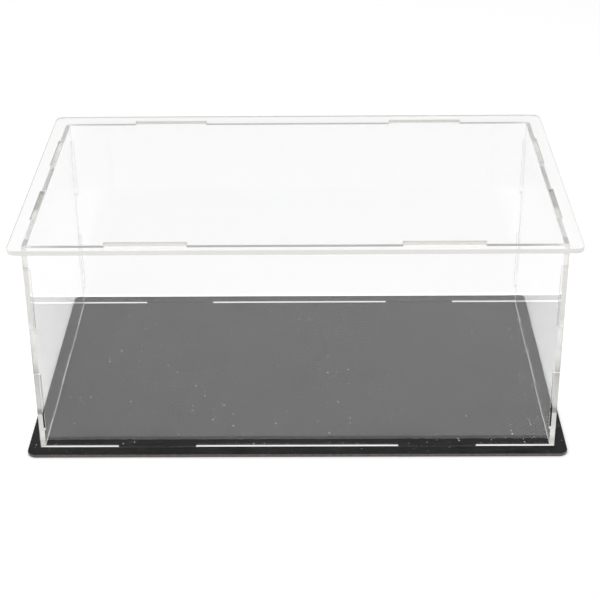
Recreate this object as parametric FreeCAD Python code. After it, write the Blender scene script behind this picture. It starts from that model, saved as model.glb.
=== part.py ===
# Clear acrylic display case that slots together from six flat laser-cut sheets.
# Millimetres. +Z is up, the front faces -Y, and the origin is under the middle of the base.

import FreeCAD
import Part
import os

# Overall sizes
WALL_WIDTH = 330.0  # outside of the four walls, along X
WALL_DEPTH = 200.0  # outside of the four walls, along Y
WALL_HEIGHT = 141.0  # of the four walls, without their tabs
SIDE_LIP = 8.0  # reach of base and top past the side walls
FRONT_LIP = 9.0  # reach of base and top past the front and back walls
PLATE_CORNER = 6.0  # corner radius of base and top

# Sheet thicknesses
WALL_SHEET = 3.0
TOP_SHEET = 3.0
BASE_SHEET = 2.0

# Tabs, which stand in the slots of base and top, and fingers, which lock the walls at the corners
FRONT_TAB = 50.0  # length of a tab on the front and back walls
FRONT_END_LAND = 50.0  # plain edge outside each of those tabs
SIDE_END_LAND = 36.0  # plain edge outside each tab of a side wall, from the face of the front wall
SIDE_MIDDLE_LAND = 42.0  # plain edge between the tabs of a side wall
FINGER_END_LAND = 13.0  # plain edge above and below the fingers
FINGER_MIDDLE_LAND = 33.0  # plain edge between the fingers

# Fits
SLOT_CLEARANCE = 0.15  # each side of a tab in its slot
FINGER_CLEARANCE = 0.15  # above and below a finger in its notch
NOTCH_END_GAP = 1.1  # air left past a finger at the inner end of its notch
SEAT_GAP = 0.05  # air left where one sheet stands on another or butts against it
TOP_GAP = 1.1  # air left under the top, whose slots grip the tabs before it comes down on the walls
TAB_SHY = 0.1  # tabs and fingers end this far short of the outer face that they reach for

# Places worked out from the sizes
WALL_FOOT = BASE_SHEET + SEAT_GAP
WALL_HEAD = WALL_FOOT + WALL_HEIGHT
TOP_FOOT = WALL_HEAD + TOP_GAP
PLATE_WIDTH = WALL_WIDTH + 2 * SIDE_LIP
PLATE_DEPTH = WALL_DEPTH + 2 * FRONT_LIP
SIDE_BODY = WALL_DEPTH - 2 * (WALL_SHEET + SEAT_GAP)  # side wall without its fingers
LOW_REACH = BASE_SHEET + SEAT_GAP - TAB_SHY
HIGH_REACH = TOP_SHEET - TAB_SHY
FINGER_REACH = WALL_SHEET + SEAT_GAP - TAB_SHY
NOTCH_DEPTH = WALL_SHEET + NOTCH_END_GAP


def pair(span, end_land, middle_land):
    """Two equal stretches along a span centred on zero, as (start, end)."""
    inner = middle_land / 2
    outer = span / 2 - end_land
    return [(-outer, -inner), (inner, outer)]


def grown(stretches, clearance):
    """The stretches, each longer by a clearance at both ends."""
    return [(start - clearance, end + clearance) for start, end in stretches]


FRONT_TABS = pair(WALL_WIDTH, FRONT_END_LAND, WALL_WIDTH - 2 * (FRONT_END_LAND + FRONT_TAB))
SIDE_TABS = pair(WALL_DEPTH, SIDE_END_LAND, SIDE_MIDDLE_LAND)
FINGERS = pair(WALL_HEIGHT, FINGER_END_LAND, FINGER_MIDDLE_LAND)


def stepped_edge(run, stretches, reach):
    """One edge as (distance along, offset out): it steps out by reach over each stretch.
    Its last point is left to the edge that follows."""
    points = [(-run / 2, 0.0)]
    for start, end in stretches:
        points += [(start, 0.0), (start, reach), (end, reach), (end, 0.0)]
    return points


def wall_outline(width, tabs, end_steps, end_reach):
    """Outline of a wall, (across, up) from the middle of its foot, anticlockwise from the lower left."""
    half = width / 2
    middle = WALL_HEIGHT / 2
    foot = [(s, -out) for s, out in stepped_edge(width, tabs, LOW_REACH)]
    right = [(half + out, middle + s) for s, out in stepped_edge(WALL_HEIGHT, end_steps, end_reach)]
    head = [(-s, WALL_HEIGHT + out) for s, out in stepped_edge(width, tabs, HIGH_REACH)]
    left = [(-half - out, middle - s) for s, out in stepped_edge(WALL_HEIGHT, end_steps, end_reach)]
    return foot + right + head + left


def cut_sheet(corners, thickness):
    """A flat sheet cut to the outline through the corners and given its thickness."""
    face = Part.Face(Part.makePolygon(corners + corners[:1]))
    return face.extrude(thickness)


def long_wall(outer_face):
    """Front or back wall, notched at both ends for the fingers of the side walls."""
    outline = wall_outline(WALL_WIDTH, FRONT_TABS, grown(FINGERS, FINGER_CLEARANCE), -NOTCH_DEPTH)
    corners = [FreeCAD.Vector(across, outer_face, WALL_FOOT + up) for across, up in outline]
    inward = -WALL_SHEET if outer_face > 0 else WALL_SHEET
    return cut_sheet(corners, FreeCAD.Vector(0, inward, 0))


def side_wall(outer_face):
    """Left or right wall, held between the long walls, with fingers through their notches."""
    outline = wall_outline(SIDE_BODY, SIDE_TABS, FINGERS, FINGER_REACH)
    corners = [FreeCAD.Vector(outer_face, across, WALL_FOOT + up) for across, up in outline]
    inward = -WALL_SHEET if outer_face > 0 else WALL_SHEET
    return cut_sheet(corners, FreeCAD.Vector(inward, 0, 0))


def slot_cutters(foot, thickness):
    """Cutters for the slots that take the wall tabs, right through a plate."""
    width = WALL_SHEET + 2 * SLOT_CLEARANCE
    across = (WALL_DEPTH - WALL_SHEET) / 2
    along = (WALL_WIDTH - WALL_SHEET) / 2
    cutters = []
    for side in (-1, 1):
        for start, end in grown(FRONT_TABS, SLOT_CLEARANCE):
            corner = FreeCAD.Vector(start, side * across - width / 2, foot)
            cutters.append(Part.makeBox(end - start, width, thickness, corner))
        for start, end in grown(SIDE_TABS, SLOT_CLEARANCE):
            corner = FreeCAD.Vector(side * along - width / 2, start, foot)
            cutters.append(Part.makeBox(width, end - start, thickness, corner))
    return cutters


def slotted_plate(foot, thickness):
    """Base or top: a rectangle with rounded corners and a slot for every wall tab."""
    corner = FreeCAD.Vector(-PLATE_WIDTH / 2, -PLATE_DEPTH / 2, foot)
    blank = Part.makeBox(PLATE_WIDTH, PLATE_DEPTH, thickness, corner)
    upright = [edge for edge in blank.Edges if abs(edge.tangentAt(edge.FirstParameter).z) > 0.5]
    return blank.makeFillet(PLATE_CORNER, upright).cut(slot_cutters(foot, thickness))


def panels():
    """Every sheet of the case by name."""
    return {
        "base_panel": slotted_plate(0.0, BASE_SHEET),
        "front_panel": long_wall(-WALL_DEPTH / 2),
        "back_panel": long_wall(WALL_DEPTH / 2),
        "left_panel": side_wall(-WALL_WIDTH / 2),
        "right_panel": side_wall(WALL_WIDTH / 2),
        "top_panel": slotted_plate(TOP_FOOT, TOP_SHEET),
    }


os.makedirs("parts", exist_ok=True)
for name, sheet in panels().items():
    solid = sheet.Solids[0]
    print(f"{name}: {solid.Volume / 1000:.2f} cm3, valid {solid.isValid()}")
    solid.exportStep(f"parts/{name}.step")
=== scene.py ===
"""Clear display case: sheets slotted into a black base, dressed and lit on a white sweep."""

import math

import bmesh
import bpy
from bpy.props import FloatProperty, FloatVectorProperty, IntProperty, PointerProperty
from mathutils import Matrix, Vector


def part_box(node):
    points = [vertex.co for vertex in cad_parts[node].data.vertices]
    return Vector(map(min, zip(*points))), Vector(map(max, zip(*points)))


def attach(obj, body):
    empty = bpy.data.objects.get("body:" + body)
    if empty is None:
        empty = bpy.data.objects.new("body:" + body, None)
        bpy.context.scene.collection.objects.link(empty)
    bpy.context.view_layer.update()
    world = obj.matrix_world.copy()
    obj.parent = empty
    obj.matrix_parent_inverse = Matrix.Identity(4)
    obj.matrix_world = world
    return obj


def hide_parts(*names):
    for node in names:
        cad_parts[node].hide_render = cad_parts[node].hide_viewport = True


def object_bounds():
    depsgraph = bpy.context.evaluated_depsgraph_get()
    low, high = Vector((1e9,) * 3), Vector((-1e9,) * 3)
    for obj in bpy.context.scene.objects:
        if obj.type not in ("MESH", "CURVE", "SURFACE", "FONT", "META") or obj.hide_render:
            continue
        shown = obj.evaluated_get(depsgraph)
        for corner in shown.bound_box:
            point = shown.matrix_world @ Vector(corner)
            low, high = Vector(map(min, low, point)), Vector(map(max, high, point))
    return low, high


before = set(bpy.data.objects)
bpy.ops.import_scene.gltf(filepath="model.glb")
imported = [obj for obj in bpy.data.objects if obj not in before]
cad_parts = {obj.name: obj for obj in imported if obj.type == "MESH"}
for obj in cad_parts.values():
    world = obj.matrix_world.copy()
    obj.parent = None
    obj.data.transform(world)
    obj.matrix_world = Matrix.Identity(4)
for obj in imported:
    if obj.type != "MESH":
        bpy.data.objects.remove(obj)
cad_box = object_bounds()

bl_info = {
    "name": "Display Case",
    "version": (1, 0, 0),
    "blender": (4, 5, 0),
    "location": "View3D > Sidebar > Display Case",
    "description": "Cuts the clear and black sheets of a slot-together display case and sets its studio",
    "category": "Object",
}

ACROSS, DEEP, UP = range(3)
AXES = (Vector((1, 0, 0)), Vector((0, 1, 0)), Vector((0, 0, 1)))
MILLIMETRE = 0.001
TOUCH = 1e-6  # places nearer to each other than this are one place

# The finishes of a sheet, in the order of its materials
FACE, CUT_EDGE, CUT_JOINT, CUT_END, CUT_FOOT = range(5)

# Cutting the sheets
WASTE_GAP = 0.1 * MILLIMETRE  # a part of the blank further than this from the CAD sheet is waste
ARRIS_STEPS = 2  # flats across a softened arris
ARRIS_ANGLE = math.radians(30)  # edges that turn further than this are softened
SHARP_ANGLE = math.radians(20)  # edges that turn further than this are shaded as sharp
FLAT = 0.999  # part of a normal along an axis that makes its facet square to that axis
STEEP = 0.5  # part of a normal along an axis that makes its facet look that way
SLOT_INSET = 5 * MILLIMETRE  # slots lie further in than this from the rim of a plate
TAB_TOP = MILLIMETRE  # tab tops lie nearer than this to the upper end of a wall

# Patterns
NOISE_RANGE = 0.3, 0.7  # the values that most of a noise lies between
NOISE_MIDDLE = 0.5
WAVE_LENGTH = math.tau / 10  # length of one diagonal wave of the wave texture at a scale of 1

# Laser-cut edges
CLEAR_WANDER = 1.2  # how far the ripples of a clear edge wander
BLACK_WANDER = 1.5  # the same in the black sheet
EDGE_UNEVEN = 0.9, 1.1  # least and greatest roughness of a clear edge, by its mean
# Black that the painted shade on the clear edges darkens them towards
SHADE_BLACK = (0, 0, 0, 1)

# Painted reflection of the black base on the upright ends, by share of the height of the case
END_REFLECTION_SHADE = (
    (0.0, 0.0), (0.09, 0.08), (0.18, 0.33), (0.186, 1.0), (0.204, 1.0), (0.212, 0.56), (0.42, 0.56),
    (0.5, 0.14), (0.57, 0.0), (1.0, 0.0),
)
# Painted shade on the upper edges of the side walls, by share of the half depth of the case, from the
# front
SIDE_PAINTED_SHADE = (
    (-1.0, 1.0), (-0.82, 0.95), (-0.79, 0.05), (-0.6, 0.0), (-0.47, 0.15), (-0.42, 0.86), (-0.22, 0.86),
    (-0.18, 0.85), (0.0, 0.7), (0.17, 0.55), (0.19, 0.0), (0.59, 0.0), (0.61, 0.75), (1.0, 0.75),
)

# Clear faces
SMUDGE_RANGE = 0.5, 0.8  # noise at which a smudge begins and is full
WAVE_HEIGHT = 0.02 * MILLIMETRE  # of the waviness of the sheet

# Black sheet, with the least and the greatest roughness of its faces and its cut edges
BLACK_FACE_ROUGHNESS = 0.5, 0.65
BLACK_EDGE_ROUGHNESS = 0.35, 0.55
BLACK_GRAIN = 0.03 * MILLIMETRE  # height of the grain of its faces
BLACK_RIPPLE = 0.05 * MILLIMETRE  # depth of the ripples in its cut edges

# Dust and scratches on the base
DRIFT_RANGE = 0.2, 0.8  # noise between bare patches and the thickest drifts
DUST_DRIFT = 0.18  # how much more or less often a place holds a speck there
COARSE_SPACING = 7 * MILLIMETRE
COARSE_SHARE = 0.17  # of the places that hold a speck
FINE_SPACING = 3 * MILLIMETRE
FINE_SHARE = 0.05
FINE_RADIUS = 0.7  # by that of the coarse specks
FINE_STRENGTH = 0.6
SMALL_SPECK = 0.5  # radius of the smallest specks, by that of the largest
SPECK_BLUR = 0.3  # width of the soft rim of a speck, by that radius
HAIR_LENGTH = 6 * MILLIMETRE
HAIR_LINE = 0.006, 0.012  # distance from the middle of a noise at which a hair thins and ends
HAIR_PATCHES = 0.58, 0.62  # noise at which a patch of hairs begins and is full
HAIR_SPREAD = 0.6  # scale of that noise by the scale of the curls
HAIR_STRENGTH = 0.15
WIPED = 0.2  # share of the dust that is left before the front wall
FILM_RANGE = 0.45, 0.8  # noise at which a film of dust begins and is full
FILM_STRENGTH = 0.005
SCRATCH_LINE = 0.76, 0.82  # noise at which a scratch begins and is full
SCRATCH_STRENGTH = 0.04
# Turn, length and width of each set of scratches
SCRATCHES = (
    (0.5, 60 * MILLIMETRE, 0.8 * MILLIMETRE),
    (-0.9, 40 * MILLIMETRE, 0.7 * MILLIMETRE),
)

# Glow of the floor in mirrors and through glass, by share of the half depth of the case, from the front
SWEEP = (
    (-2.7, 1.0), (-1.05, 0.9), (0.0, 0.63), (0.7, 0.595), (1.035, 0.56), (1.065, 0.07), (1.7, 0.07),
    (1.85, 0.158), (2.807, 0.158), (2.877, 0.047), (4.25, 0.047), (4.35, 0.13),
)
# The same further out than the sides of the case
SIDE_SWEEP = SWEEP[:5] + ((1.065, 0.11), (4.35, 0.11))
SIDE_RANGE = 1.18, 1.3  # where the one gives way to the other, by share of the half width of the case
SWEEP_LEAN = 0.9, 1.08  # strength of the glow at the left and at the right of the case

# Studio
FLOOR_REACH = 6.0
FLOOR_DROP = 0.2 * MILLIMETRE  # below the underside of the base
FLOOR_PAINT = (0.9, 0.9, 0.9, 1)
# The surroundings pass from the front light to the back light between these, -1 being front and 1 back
LIGHT_RANGE = -0.6, 0.2
SENSOR_WIDTH = 36.0  # millimetres
CLEAR_BOUNCES = 48
MIRROR_BOUNCES = 24


def plate_corner():
    """Corner radius of the plates, read off the frame: where the straight side ends."""
    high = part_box("top_panel")[1]
    side = [v.co.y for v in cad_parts["top_panel"].data.vertices if v.co.x > high.x - TOUCH]
    return high.y - max(side)


class CaseSheetSettings(bpy.types.PropertyGroup):
    """How the sheets are cut."""

    plate_round: FloatProperty(
        name="Plate rounding",
        description="Width of the softened arris along the cut edges of the base and the top",
        default=0.2 * MILLIMETRE,
        unit="LENGTH",
    )
    wall_round: FloatProperty(
        name="Wall rounding",
        description="Width of the softened arris along the cut edges of the walls",
        default=0.08 * MILLIMETRE,
        unit="LENGTH",
    )
    corner_radius: FloatProperty(
        name="Plate corner",
        description="Corner radius of the base and the top",
        default=plate_corner(),
        unit="LENGTH",
    )
    corner_steps: IntProperty(
        name="Corner steps",
        description="Flats that make up one rounded corner",
        default=12,
    )


class CaseFinishSettings(bpy.types.PropertyGroup):
    """Colours and finishes of the sheets."""

    clear_tint: FloatVectorProperty(
        name="Clear sheet",
        description="Tint of the polished faces of the clear sheet",
        subtype="COLOR",
        default=(1.0, 1.0, 1.0),
    )
    clear_index: FloatProperty(
        name="Refractive index",
        description="How strongly the clear sheet bends light",
        default=1.49,
    )
    smudge_roughness: FloatProperty(
        name="Smudges",
        description="Roughness of the clear faces where a hand has wiped them",
        subtype="FACTOR",
        default=0.04,
    )
    edge_tint: FloatVectorProperty(
        name="Cut edge",
        description="Tint of the laser-cut edges of the clear sheet",
        subtype="COLOR",
        default=(0.90, 0.885, 0.86),
    )
    joint_tint: FloatVectorProperty(
        name="Cut joint",
        description="Tint of the tab tops of the clear walls",
        subtype="COLOR",
        default=(0.96, 0.95, 0.915),
    )
    slot_tint: FloatVectorProperty(
        name="Cut slot",
        description="Tint of the slot walls in the top",
        subtype="COLOR",
        default=(0.89, 0.875, 0.83),
    )
    end_tint: FloatVectorProperty(
        name="Cut end",
        description="Tint of the upright ends of the walls",
        subtype="COLOR",
        default=(1.0, 0.985, 0.955),
    )
    # Painted reflection of the black base on the upright ends of the walls
    end_reflection_shade: FloatProperty(
        name="Shade, ends",
        description="How much smoke darkens the upright ends of the walls where it lies thickest",
        subtype="FACTOR",
        default=0.7,
    )
    # Painted shade on the upper edges of the side walls
    side_painted_shade: FloatProperty(
        name="Shade, side walls",
        description="How much smoke darkens the upper edges of the side walls where it lies thickest",
        subtype="FACTOR",
        default=0.7,
    )
    foot_tint: FloatVectorProperty(
        name="Cut foot",
        description="Tint of the edges that the walls stand on",
        subtype="COLOR",
        default=(0.98, 0.98, 0.975),
    )
    streak_shade: FloatProperty(
        name="Streaks",
        description="How much darker the streaks in the clear cut edges are",
        subtype="FACTOR",
        default=0.05,
    )
    side_clarity: FloatProperty(
        name="Clarity, side walls",
        description="Share of the light that passes the upper edges of the side walls unscattered",
        subtype="FACTOR",
        default=0.93,
    )
    long_clarity: FloatProperty(
        name="Clarity, long walls",
        description="Share of the light that passes the upper edges of the long walls unscattered",
        subtype="FACTOR",
        default=0.68,
    )
    side_joint_clarity: FloatProperty(
        name="Clarity, side tabs",
        description="Share of the light that passes the tab tops of the side walls unscattered",
        subtype="FACTOR",
        default=0.7,
    )
    long_joint_clarity: FloatProperty(
        name="Clarity, long tabs",
        description="Share of the light that passes the tab tops of the long walls unscattered",
        subtype="FACTOR",
        default=0.1,
    )
    top_joint_clarity: FloatProperty(
        name="Clarity, top slots",
        description="Share of the light that passes the slot walls of the top unscattered",
        subtype="FACTOR",
        default=0.05,
    )
    end_clarity: FloatProperty(
        name="Clarity, ends",
        description="Share of the light that passes the upright ends of the walls unscattered",
        subtype="FACTOR",
        default=0.4,
    )
    foot_clarity: FloatProperty(
        name="Clarity, feet",
        description="Share of the light that passes the lower edges of the walls unscattered",
        subtype="FACTOR",
        default=0.0,
    )
    top_clarity: FloatProperty(
        name="Clarity, top",
        description="Share of the light that passes the edges of the top unscattered",
        subtype="FACTOR",
        default=0.05,
    )
    edge_roughness: FloatProperty(
        name="Cut edge, roughness",
        description="Roughness of the edges that the laser left frosted",
        subtype="FACTOR",
        default=0.32,
    )
    foot_roughness: FloatProperty(
        name="Cut foot, roughness",
        description="Roughness of the smoother edges, at the ends and feet of the walls",
        subtype="FACTOR",
        default=0.12,
    )
    ripple_pitch: FloatProperty(
        name="Ripples",
        description="Pitch of the ripples that the laser leaves across an edge",
        default=0.8 * MILLIMETRE,
        unit="LENGTH",
    )
    ripple_height: FloatProperty(
        name="Ripple height",
        description="Depth of those ripples in the clear sheet",
        default=0.003 * MILLIMETRE,
        unit="LENGTH",
    )
    base_colour: FloatVectorProperty(
        name="Black sheet",
        description="Colour of the satin faces of the base",
        subtype="COLOR",
        default=(0.007, 0.007, 0.007),
    )
    dust_colour: FloatVectorProperty(
        name="Dust",
        description="Colour of the specks and scratches on the base",
        subtype="COLOR",
        default=(0.65, 0.65, 0.63),
    )
    dust_radius: FloatProperty(
        name="Dust size",
        description="Radius of the largest specks on the base",
        default=0.66 * MILLIMETRE,
        unit="LENGTH",
    )
    base_edge_colour: FloatVectorProperty(
        name="Black cut edge",
        description="Colour of the pale streaks in the laser-cut edges of the base",
        subtype="COLOR",
        default=(0.15, 0.125, 0.115),
    )
    base_slot_colour: FloatVectorProperty(
        name="Black slot",
        description="Colour of the pale streaks in the walls of the slots of the base",
        subtype="COLOR",
        default=(0.02, 0.018, 0.017),
    )


class CaseStageSettings(bpy.types.PropertyGroup):
    """Camera, floor and light of the studio."""

    camera_place: FloatVectorProperty(
        name="Camera place",
        description="Where the camera stands",
        subtype="TRANSLATION",
        default=(0.01248, -0.94284, 0.55865),
    )
    camera_dip: FloatProperty(
        name="Camera dip",
        description="How far the camera looks down",
        subtype="ANGLE",
        default=math.radians(28.088),
    )
    camera_turn: FloatProperty(
        name="Camera turn",
        description="How far the camera turns to the left",
        subtype="ANGLE",
        default=math.radians(0.662),
    )
    camera_roll: FloatProperty(
        name="Camera roll",
        description="How far the camera leans to the left",
        subtype="ANGLE",
        default=math.radians(-0.538),
    )
    camera_lens: FloatProperty(
        name="Lens",
        description="Focal length on a 36 mm wide sensor",
        subtype="DISTANCE_CAMERA",
        default=93.83,
    )
    floor_glow: FloatProperty(
        name="Floor",
        description="Glow that the eye sees on the floor beside its own paint",
        default=0.18,
    )
    sweep_glow: FloatProperty(
        name="Sweep",
        description="Glow of the floor before the case, in mirrors and through glass",
        default=1.0,
    )
    front_light: FloatProperty(
        name="Light from the front",
        description="Brightness of the surroundings behind the camera",
        default=0.75,
    )
    back_light: FloatProperty(
        name="Light from the back",
        description="Brightness of the surroundings overhead and beyond the case",
        default=1.1,
    )
    softbox_power: FloatProperty(
        name="Softbox",
        description="Power of the wide lamp overhead",
        unit="POWER",
        default=9.0,
    )
    softbox_size: FloatProperty(
        name="Softbox size",
        description="Side of the wide lamp overhead",
        unit="LENGTH",
        default=1.2,
    )
    softbox_place: FloatVectorProperty(
        name="Softbox place",
        description="Where the wide lamp hangs",
        subtype="TRANSLATION",
        default=(-0.4, -0.5, 1.6),
    )


def step_places(node, axis, margin):
    """Where the outline of a CAD sheet steps along an axis, further than a margin from its ends."""
    low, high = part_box(node)
    places = {round(v.co[axis], 6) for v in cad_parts[node].data.vertices}
    return sorted(p for p in places if low[axis] + margin < p < high[axis] - margin)


def edge_kind(face, thin, low, high):
    """Which finish a facet takes: face; cut edge; joint, which is the wall of a slot or the top of a tab;
    or on a wall an upright end or a foot."""
    centre = face.calc_center_median()
    if abs(face.normal[thin]) > FLAT:
        return FACE
    if thin == UP:
        rim = min(min(centre[axis] - low[axis], high[axis] - centre[axis]) for axis in (ACROSS, DEEP))
        return CUT_JOINT if rim > SLOT_INSET else CUT_EDGE
    if face.normal[UP] > STEEP:
        return CUT_JOINT if centre[UP] > high[UP] - TAB_TOP else CUT_EDGE
    return CUT_FOOT if face.normal[UP] < -STEEP else CUT_END


def cut_sheet(node, thin, rounding, corner=0.0, corner_steps=1):
    """A sheet cut as the CAD node is: a blank with its corners rounded, scored along every step,
    cleared of the waste, given its thickness and softened along its arrises."""
    low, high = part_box(node)
    along, over = (axis for axis in (ACROSS, DEEP, UP) if axis != thin)
    middle = (low + high) / 2
    middle[thin] = low[thin]
    place = Matrix.Identity(4)
    for column, axis in enumerate((along, over, thin)):
        size = 1.0 if axis == thin else high[axis] - low[axis]
        place.col[column].xyz = AXES[axis] * size
    place.translation = middle
    bm = bmesh.new()
    bmesh.ops.create_grid(bm, x_segments=1, y_segments=1, size=0.5, matrix=place)
    if corner:
        bmesh.ops.bevel(
            bm, geom=bm.verts[:], offset=corner, segments=corner_steps,
            profile=0.5, affect="VERTICES", material=-1,
        )
    for axis in (along, over):
        for step in step_places(node, axis, corner + TOUCH):
            geom = bm.verts[:] + bm.edges[:] + bm.faces[:]
            bmesh.ops.bisect_plane(bm, geom=geom, plane_co=AXES[axis] * step, plane_no=AXES[axis])
    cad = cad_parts[node]
    waste = []
    for face in bm.faces:
        centre = face.calc_center_median()
        nearest = cad.closest_point_on_mesh(centre)[1]
        if (nearest - centre).length > WASTE_GAP:
            waste.append(face)
    bmesh.ops.delete(bm, geom=waste, context="FACES")
    facing = 1 if next(iter(bm.faces)).normal[thin] > 0 else -1
    bmesh.ops.solidify(bm, geom=bm.faces[:], thickness=facing * (low[thin] - high[thin]))
    bmesh.ops.recalc_face_normals(bm, faces=bm.faces[:])
    arrises = [edge for edge in bm.edges if edge.calc_face_angle() > ARRIS_ANGLE]
    bmesh.ops.bevel(
        bm, geom=arrises, offset=rounding, segments=ARRIS_STEPS,
        profile=0.5, affect="EDGES", material=-1,
    )
    for face in bm.faces:
        face.smooth = True
        face.material_index = edge_kind(face, thin, low, high)
    return bm


def finish_sheet(bm, name, node, body, finishes):
    """Makes the cut sheet an object that stands for its CAD node and rides on its body."""
    mesh = bpy.data.meshes.new(name)
    bm.to_mesh(mesh)
    bm.free()
    mesh.set_sharp_from_angle(angle=SHARP_ANGLE)
    for finish in finishes:
        mesh.materials.append(finish)
    sheet = bpy.data.objects.new(name, mesh)
    bpy.context.scene.collection.objects.link(sheet)
    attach(sheet, body)
    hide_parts(node)


def new_finish(name):
    """A new node material with nothing but its output."""
    finish = bpy.data.materials.new(name)
    finish.use_nodes = True
    finish.node_tree.nodes.clear()
    output = finish.node_tree.nodes.new("ShaderNodeOutputMaterial")
    return finish, finish.node_tree, output.inputs["Surface"]


def feed(tree, socket, value):
    """Gives an input a plain value, or links it to the output that is handed in."""
    if isinstance(value, bpy.types.NodeSocket):
        tree.links.new(value, socket)
    else:
        socket.default_value = value


def add(tree, kind, settings=None, **inputs):
    """A new node with its own settings and its inputs."""
    node = tree.nodes.new(kind)
    for name, value in (settings or {}).items():
        setattr(node, name, value)
    for name, value in inputs.items():
        feed(tree, node.inputs[name.replace("_", " ")], value)
    return node


def reckon(tree, operation, first, second):
    """The outcome of one sum on two numbers."""
    node = tree.nodes.new("ShaderNodeMath")
    node.operation = operation
    feed(tree, node.inputs[0], first)
    feed(tree, node.inputs[1], second)
    return node.outputs[0]


def spread(tree, value, low, high, out_low, out_high, kind="LINEAR"):
    """A number that goes from out_low to out_high while value goes from low to high."""
    node = add(
        tree, "ShaderNodeMapRange", {"interpolation_type": kind}, Value=value,
        From_Min=low, From_Max=high, To_Min=out_low, To_Max=out_high,
    )
    return node.outputs["Result"]


def ramp(tree, value, stops):
    """A number that runs straight from stop to stop, each given as (value, number)."""
    first, last = stops[0][0], stops[-1][0]
    node = add(tree, "ShaderNodeValToRGB", Fac=spread(tree, value, first, last, 0.0, 1.0))
    elements = node.color_ramp.elements
    while len(elements) < len(stops):
        elements.new(1.0)
    for element, (place, number) in zip(elements, stops):
        element.position = (place - first) / (last - first)
        element.color = (number, number, number, 1)
    return node.outputs["Color"]


def blend(tree, share, first, second):
    """A colour between two others. The mix node has sockets 6 and 7, and output 2, for colours."""
    node = add(tree, "ShaderNodeMix", {"data_type": "RGBA"})
    feed(tree, node.inputs[0], share)
    feed(tree, node.inputs[6], first)
    feed(tree, node.inputs[7], second)
    return node.outputs[2]


def noise(tree, place, scale, detail, distortion=0.0):
    """The strength of a cloudy noise at a place."""
    node = add(
        tree, "ShaderNodeTexNoise", Vector=place, Scale=scale, Detail=detail, Distortion=distortion,
    )
    return node.outputs["Fac"]


def object_place(tree):
    """The place on the piece, in its own coordinates."""
    return add(tree, "ShaderNodeTexCoord").outputs["Object"]


def part_of(tree, place, axis):
    """The distance of a place along one axis."""
    return add(tree, "ShaderNodeSeparateXYZ", Vector=place).outputs[axis]


def specks(tree, place, drift, spacing, share, radius):
    """1 on scattered specks of dust: a share of the cells of a flat pattern holds one, up to a radius,
    and more of them do where the dust has drifted together."""
    cells = add(
        tree, "ShaderNodeTexVoronoi", {"voronoi_dimensions": "2D"}, Vector=place, Scale=1 / spacing,
    )
    luck = add(tree, "ShaderNodeSeparateColor", Color=cells.outputs["Color"]).outputs["Red"]
    luck = reckon(tree, "ADD", luck, drift)
    largest = radius / spacing
    reach = spread(tree, luck, 1 - share, 1.0, SMALL_SPECK * largest, largest)
    reach = reckon(tree, "MULTIPLY", reach, reckon(tree, "GREATER_THAN", luck, 1 - share))
    inside = reckon(tree, "SUBTRACT", reach, cells.outputs["Distance"])
    return spread(tree, inside, 0.0, SPECK_BLUR * largest, 0.0, 1.0)


def scratches(tree, place, turn, length, width):
    """1 on sparse hairline scratches that run one way."""
    along = add(
        tree, "ShaderNodeMapping", Vector=place, Rotation=(0, 0, turn),
        Scale=(1 / length, 1 / width, 0.0),
    )
    lines = noise(tree, along.outputs[0], scale=1.0, detail=0.0)
    return spread(tree, lines, *SCRATCH_LINE, 0.0, 1.0)


def hairs(tree, place, length):
    """1 on short curled hairs, which follow the middle of a noise here and there."""
    curls = noise(tree, place, scale=1 / length, detail=1.0)
    patches = noise(tree, place, scale=HAIR_SPREAD / length, detail=2.0)
    off = reckon(tree, "ABSOLUTE", reckon(tree, "SUBTRACT", curls, NOISE_MIDDLE), 0.0)
    line = spread(tree, off, *HAIR_LINE, 1.0, 0.0)
    return reckon(tree, "MULTIPLY", line, spread(tree, patches, *HAIR_PATCHES, 0.0, 1.0))


def stronger(tree, marks, others, strength):
    """The stronger of two kinds of marks, the others at a strength of their own."""
    return reckon(tree, "MAXIMUM", marks, reckon(tree, "MULTIPLY", others, strength))


def base_dust(tree, place, clumps, radius):
    """1 on dust: coarse specks up to a radius, fine ones and hairs. Little lies before the front wall."""
    drift = spread(tree, clumps, *DRIFT_RANGE, -DUST_DRIFT, DUST_DRIFT)
    coarse = specks(tree, place, drift, COARSE_SPACING, COARSE_SHARE, radius)
    fine = specks(tree, place, drift, FINE_SPACING, FINE_SHARE, FINE_RADIUS * radius)
    dust = stronger(tree, coarse, fine, FINE_STRENGTH)
    dust = stronger(tree, dust, hairs(tree, place, HAIR_LENGTH), HAIR_STRENGTH)
    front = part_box("front_panel")[0].y
    remains = spread(tree, part_of(tree, place, DEEP), front, front + MILLIMETRE, WIPED, 1.0)
    return reckon(tree, "MULTIPLY", dust, remains)


def laser_ripples(tree, place, pitch, wander):
    """Height of the ripples that the laser leaves across an edge."""
    waves = add(
        tree, "ShaderNodeTexWave", {"bands_direction": "DIAGONAL"}, Vector=place,
        Scale=WAVE_LENGTH / pitch, Distortion=wander, Detail=1.0,
    )
    return waves.outputs["Fac"]


def with_painted_shade(tree, colour, axis, stops, darkest):
    """A colour darkened towards black by painted shade, given by stops along an axis, each as (share of
    the case, depth).
    """
    stops = [(cad_box[1][axis] * share, depth) for share, depth in stops]
    darkness = ramp(tree, part_of(tree, object_place(tree), axis), stops)
    return blend(tree, reckon(tree, "MULTIPLY", darkness, darkest), colour, SHADE_BLACK)


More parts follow.
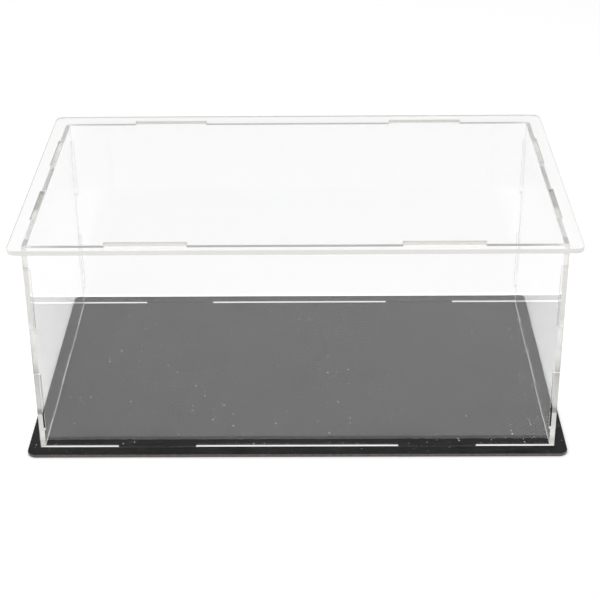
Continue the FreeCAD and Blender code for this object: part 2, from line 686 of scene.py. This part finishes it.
def clear_face(name, finish):
    """Polished face of the clear sheet, with wiped smudges and a trace of waviness. Lamps and soft
    light pass it."""
    material, tree, surface = new_finish(name)
    place = object_place(tree)
    smudges = noise(tree, place, scale=14.0, detail=4.0, distortion=1.2)
    waves = noise(tree, place, scale=22.0, detail=0.0)
    wavy = add(tree, "ShaderNodeBump", Strength=0.5, Distance=WAVE_HEIGHT, Height=waves)
    sheet = add(
        tree, "ShaderNodeBsdfPrincipled", IOR=finish.clear_index, Transmission_Weight=1.0,
        Base_Color=(*finish.clear_tint, 1), Normal=wavy.outputs[0],
        Roughness=spread(tree, smudges, *SMUDGE_RANGE, 0.0, finish.smudge_roughness),
    )
    path = add(tree, "ShaderNodeLightPath").outputs
    light = reckon(tree, "MAXIMUM", path["Is Shadow Ray"], path["Is Diffuse Ray"])
    mix = add(tree, "ShaderNodeMixShader", Fac=light)
    tree.links.new(sheet.outputs[0], mix.inputs[1])
    tree.links.new(add(tree, "ShaderNodeBsdfTransparent").outputs[0], mix.inputs[2])
    tree.links.new(mix.outputs[0], surface)
    return material


def clear_edge(name, finish, thin, tint, clarity, roughness, shading=None):
    """Laser-cut edge of the clear sheet: a little frosted, rippled straight across its thickness, and
    darkened by painted shade where shading is given, as its axis, its stops and how dark it is."""
    material, tree, surface = new_finish(name)
    across = [1.0, 1.0, 1.0]
    across[thin] = 0.0
    place = add(tree, "ShaderNodeMapping", Vector=object_place(tree), Scale=across).outputs[0]
    ripples = laser_ripples(tree, place, finish.ripple_pitch, CLEAR_WANDER)
    bump = add(tree, "ShaderNodeBump", Strength=1.0, Distance=finish.ripple_height, Height=ripples)
    streaks = noise(tree, place, scale=260.0, detail=3.0)
    shade = [(1 - finish.streak_shade) * part for part in tint]
    colour = blend(tree, streaks, (*shade, 1), (*tint, 1))
    # Painted shade, standing in for dark reflections in the edge
    if shading:
        colour = with_painted_shade(tree, colour, *shading)
    least, greatest = (share * roughness for share in EDGE_UNEVEN)
    edge = add(
        tree, "ShaderNodeBsdfPrincipled", IOR=finish.clear_index, Transmission_Weight=clarity,
        Base_Color=colour, Normal=bump.outputs[0],
        Roughness=spread(tree, streaks, *NOISE_RANGE, least, greatest),
    )
    tree.links.new(edge.outputs[0], surface)
    return material


def black_face(name, finish):
    """Satin black face with a fine grain, hairline scratches, and dust in specks and a thin film."""
    material, tree, surface = new_finish(name)
    place = object_place(tree)
    clumps = noise(tree, place, scale=55.0, detail=3.0)
    dust = base_dust(tree, place, clumps, finish.dust_radius)
    marks = reckon(tree, "MAXIMUM", *(scratches(tree, place, *run) for run in SCRATCHES))
    pale = stronger(tree, dust, marks, SCRATCH_STRENGTH)
    pale = reckon(tree, "MAXIMUM", pale, spread(tree, clumps, *FILM_RANGE, 0.0, FILM_STRENGTH))
    grain = noise(tree, place, scale=2200.0, detail=2.0)
    bump = add(tree, "ShaderNodeBump", Strength=0.3, Distance=BLACK_GRAIN, Height=grain)
    cloud = noise(tree, place, scale=30.0, detail=4.0)
    sheet = add(
        tree, "ShaderNodeBsdfPrincipled", Specular_IOR_Level=0.2, Normal=bump.outputs[0],
        Base_Color=blend(tree, pale, (*finish.base_colour, 1), (*finish.dust_colour, 1)),
        Roughness=spread(tree, cloud, *NOISE_RANGE, *BLACK_FACE_ROUGHNESS),
    )
    tree.links.new(sheet.outputs[0], surface)
    return material


def black_edge(name, finish, pale):
    """Laser-cut edge of the black sheet: streaked with a paler tone, rippled across its thickness."""
    material, tree, surface = new_finish(name)
    place = add(tree, "ShaderNodeMapping", Vector=object_place(tree), Scale=(1, 1, 0)).outputs[0]
    ripples = laser_ripples(tree, place, finish.ripple_pitch, BLACK_WANDER)
    bump = add(tree, "ShaderNodeBump", Strength=0.4, Distance=BLACK_RIPPLE, Height=ripples)
    streaks = noise(tree, place, scale=300.0, detail=3.0)
    edge = add(
        tree, "ShaderNodeBsdfPrincipled", Normal=bump.outputs[0],
        Base_Color=blend(tree, streaks, (*finish.base_colour, 1), (*pale, 1)),
        Roughness=spread(tree, streaks, *NOISE_RANGE, *BLACK_EDGE_ROUGHNESS),
    )
    tree.links.new(edge.outputs[0], surface)
    return material


def clear_finishes(finish, thin):
    """The finishes of a clear sheet, by the axis along which it is thin: face, cut edge and joint, and
    on a wall upright end and foot."""
    sheet = {ACROSS: "side", DEEP: "long", UP: "top"}[thin]
    finishes = [bpy.data.materials.get("clear_sheet") or clear_face("clear_sheet", finish)]
    rough, smooth = finish.edge_roughness, finish.foot_roughness
    # Painted shade along the upper edges of the side walls
    shading = (DEEP, SIDE_PAINTED_SHADE, finish.side_painted_shade) if thin == ACROSS else None
    joint_tint = finish.slot_tint if thin == UP else finish.joint_tint
    kinds = {
        "edge": (finish.edge_tint, getattr(finish, sheet + "_clarity"), rough, shading),
        "joint": (joint_tint, getattr(finish, sheet + "_joint_clarity"), rough, shading),
    }
    if thin != UP:
        # Painted reflection of the black base on the upright ends
        kinds["end"] = finish.end_tint, finish.end_clarity, smooth, (UP, END_REFLECTION_SHADE, finish.end_reflection_shade)
        kinds["foot"] = finish.foot_tint, finish.foot_clarity, smooth
    for kind, look in kinds.items():
        name = f"clear_{sheet}_{kind}"
        finishes.append(bpy.data.materials.get(name) or clear_edge(name, finish, thin, *look))
    return finishes


def cut_plate(scene, node):
    """The base or the top, cut with rounded corners."""
    sheets = scene.case_sheets
    return cut_sheet(node, UP, sheets.plate_round, sheets.corner_radius, sheets.corner_steps)


def make_wall(scene, node, name, thin):
    """One clear wall, which is thin along an axis."""
    bm = cut_sheet(node, thin, scene.case_sheets.wall_round)
    finishes = clear_finishes(scene.case_finish, thin)
    finish_sheet(bm, name, node, "walls", finishes)


class CaseBase(bpy.types.Operator):
    """Cuts the black base."""

    bl_idname = "display_case.base"
    bl_label = "Base"

    def execute(self, context):
        finish = context.scene.case_finish
        bm = cut_plate(context.scene, "base_panel")
        finishes = (
            black_face("black_sheet", finish),
            black_edge("black_cut_edge", finish, finish.base_edge_colour),
            black_edge("black_cut_slot", finish, finish.base_slot_colour),
        )
        finish_sheet(bm, "base_sheet", "base_panel", "base", finishes)
        return {"FINISHED"}


class CaseLongWalls(bpy.types.Operator):
    """Cuts the front and back walls."""

    bl_idname = "display_case.long_walls"
    bl_label = "Front and back walls"

    def execute(self, context):
        make_wall(context.scene, "front_panel", "front_sheet", DEEP)
        make_wall(context.scene, "back_panel", "back_sheet", DEEP)
        return {"FINISHED"}


class CaseSideWalls(bpy.types.Operator):
    """Cuts the side walls."""

    bl_idname = "display_case.side_walls"
    bl_label = "Side walls"

    def execute(self, context):
        make_wall(context.scene, "left_panel", "left_sheet", ACROSS)
        make_wall(context.scene, "right_panel", "right_sheet", ACROSS)
        return {"FINISHED"}


class CaseTop(bpy.types.Operator):
    """Cuts the clear top."""

    bl_idname = "display_case.top"
    bl_label = "Top"

    def execute(self, context):
        bm = cut_plate(context.scene, "top_panel")
        finishes = clear_finishes(context.scene.case_finish, UP)
        finish_sheet(bm, "top_sheet", "top_panel", "top", finishes)
        return {"FINISHED"}


def sweep_strength(tree, stage):
    """Glow of the floor in mirrors and through glass, as of a sweep that is lit most in front."""
    place = object_place(tree)
    high = cad_box[1]
    across, depth = part_of(tree, place, ACROSS), part_of(tree, place, DEEP)
    behind, beside = (
        ramp(tree, depth, [(high.y * far, share) for far, share in stops])
        for stops in (SWEEP, SIDE_SWEEP)
    )
    begins, ends = (share * high.x for share in SIDE_RANGE)
    aside = spread(tree, reckon(tree, "ABSOLUTE", across, 0.0), begins, ends, 0.0, 1.0)
    left, right = (share * stage.sweep_glow for share in SWEEP_LEAN)
    lean = spread(tree, across, -high.x, high.x, left, right)
    return reckon(tree, "MULTIPLY", blend(tree, aside, behind, beside), lean)


def floor_finish(stage):
    """Pale paint, which glows a little for the eye and as a sweep for mirrors and glass."""
    finish, tree, surface = new_finish("pale_floor")
    paint = add(tree, "ShaderNodeBsdfDiffuse", Color=FLOOR_PAINT)
    path = add(tree, "ShaderNodeLightPath").outputs
    mirrored = reckon(tree, "MAXIMUM", path["Is Glossy Ray"], path["Is Transmission Ray"])
    glow = reckon(
        tree, "ADD",
        reckon(tree, "MULTIPLY", mirrored, sweep_strength(tree, stage)),
        reckon(tree, "MULTIPLY", path["Is Camera Ray"], stage.floor_glow),
    )
    both = add(tree, "ShaderNodeAddShader")
    tree.links.new(paint.outputs[0], both.inputs[0])
    tree.links.new(add(tree, "ShaderNodeEmission", Strength=glow).outputs[0], both.inputs[1])
    tree.links.new(both.outputs[0], surface)
    return finish


def make_floor(stage):
    """Wide floor, a hair below the case."""
    bm = bmesh.new()
    bmesh.ops.create_grid(bm, x_segments=1, y_segments=1, size=FLOOR_REACH)
    bmesh.ops.translate(bm, verts=bm.verts[:], vec=(0, 0, -FLOOR_DROP))
    mesh = bpy.data.meshes.new("floor")
    bm.to_mesh(mesh)
    bm.free()
    mesh.materials.append(floor_finish(stage))
    floor = bpy.data.objects.new("floor", mesh)
    bpy.context.scene.collection.objects.link(floor)


def make_world(stage):
    """Soft light from all round, weaker from behind the camera, and white to the eye."""
    world = bpy.data.worlds.new("studio")
    bpy.context.scene.world = world
    world.use_nodes = True
    tree = world.node_tree
    tree.nodes.clear()
    way = add(tree, "ShaderNodeTexCoord").outputs["Generated"]
    depth = part_of(tree, way, DEEP)
    level = spread(tree, depth, *LIGHT_RANGE, stage.front_light, stage.back_light, "SMOOTHSTEP")
    eye = add(tree, "ShaderNodeLightPath").outputs["Is Camera Ray"]
    light = add(tree, "ShaderNodeBackground", Strength=reckon(tree, "MAXIMUM", level, eye))
    out = add(tree, "ShaderNodeOutputWorld")
    tree.links.new(light.outputs[0], out.inputs["Surface"])


def make_softbox(stage):
    """One wide lamp overhead, a little in front and to the left, turned to the case."""
    data = bpy.data.lights.new("softbox", "AREA")
    data.size = stage.softbox_size
    data.energy = stage.softbox_power
    lamp = bpy.data.objects.new("softbox", data)
    bpy.context.scene.collection.objects.link(lamp)
    place = stage.softbox_place
    lamp.matrix_world = Matrix.Translation(place) @ place.to_track_quat("Z", "Y").to_matrix().to_4x4()


def make_camera(stage):
    """Camera at the photograph's view."""
    data = bpy.data.cameras.new("camera")
    data.sensor_width = SENSOR_WIDTH
    data.lens = stage.camera_lens
    camera = bpy.data.objects.new("camera", data)
    bpy.context.scene.collection.objects.link(camera)
    turn = Matrix.Rotation(stage.camera_turn, 4, "Z")
    tilt = Matrix.Rotation(math.pi / 2 - stage.camera_dip, 4, "X")
    roll = Matrix.Rotation(stage.camera_roll, 4, "Z")
    camera.matrix_world = Matrix.Translation(stage.camera_place) @ turn @ tilt @ roll
    bpy.context.scene.camera = camera


class CaseStage(bpy.types.Operator):
    """Sets the floor, the light and the camera."""

    bl_idname = "display_case.stage"
    bl_label = "Studio"

    def execute(self, context):
        scene = context.scene
        make_floor(scene.case_stage)
        make_world(scene.case_stage)
        make_softbox(scene.case_stage)
        make_camera(scene.case_stage)
        scene.view_settings.view_transform = "Standard"
        scene.cycles.max_bounces = CLEAR_BOUNCES
        scene.cycles.transmission_bounces = CLEAR_BOUNCES
        scene.cycles.glossy_bounces = MIRROR_BOUNCES
        return {"FINISHED"}


class CasePanel(bpy.types.Panel):
    """Lists the settings and the pieces in the sidebar."""

    bl_idname = "VIEW3D_PT_display_case"
    bl_label = "Display Case"
    bl_space_type = "VIEW_3D"
    bl_region_type = "UI"
    bl_category = "Display Case"

    def draw(self, context):
        layout = self.layout
        scene = context.scene
        for group in (scene.case_sheets, scene.case_finish, scene.case_stage):
            box = layout.box()
            for name in group.__annotations__:
                box.prop(group, name)
        for piece in PIECES:
            layout.operator(piece.bl_idname)


PIECES = (CaseBase, CaseLongWalls, CaseSideWalls, CaseTop, CaseStage)
CLASSES = (CaseSheetSettings, CaseFinishSettings, CaseStageSettings, *PIECES, CasePanel)


def register():
    """Makes the settings, the operators and the panel known."""
    for cls in CLASSES:
        bpy.utils.register_class(cls)
    bpy.types.Scene.case_sheets = PointerProperty(type=CaseSheetSettings)
    bpy.types.Scene.case_finish = PointerProperty(type=CaseFinishSettings)
    bpy.types.Scene.case_stage = PointerProperty(type=CaseStageSettings)


def unregister():
    """Takes them away again."""
    del bpy.types.Scene.case_stage
    del bpy.types.Scene.case_finish
    del bpy.types.Scene.case_sheets
    for cls in reversed(CLASSES):
        bpy.utils.unregister_class(cls)


def main():
    """Makes the case and its studio."""
    register()
    bpy.ops.display_case.base()
    bpy.ops.display_case.long_walls()
    bpy.ops.display_case.side_walls()
    bpy.ops.display_case.top()
    bpy.ops.display_case.stage()


if __name__ == "__main__":
    main()
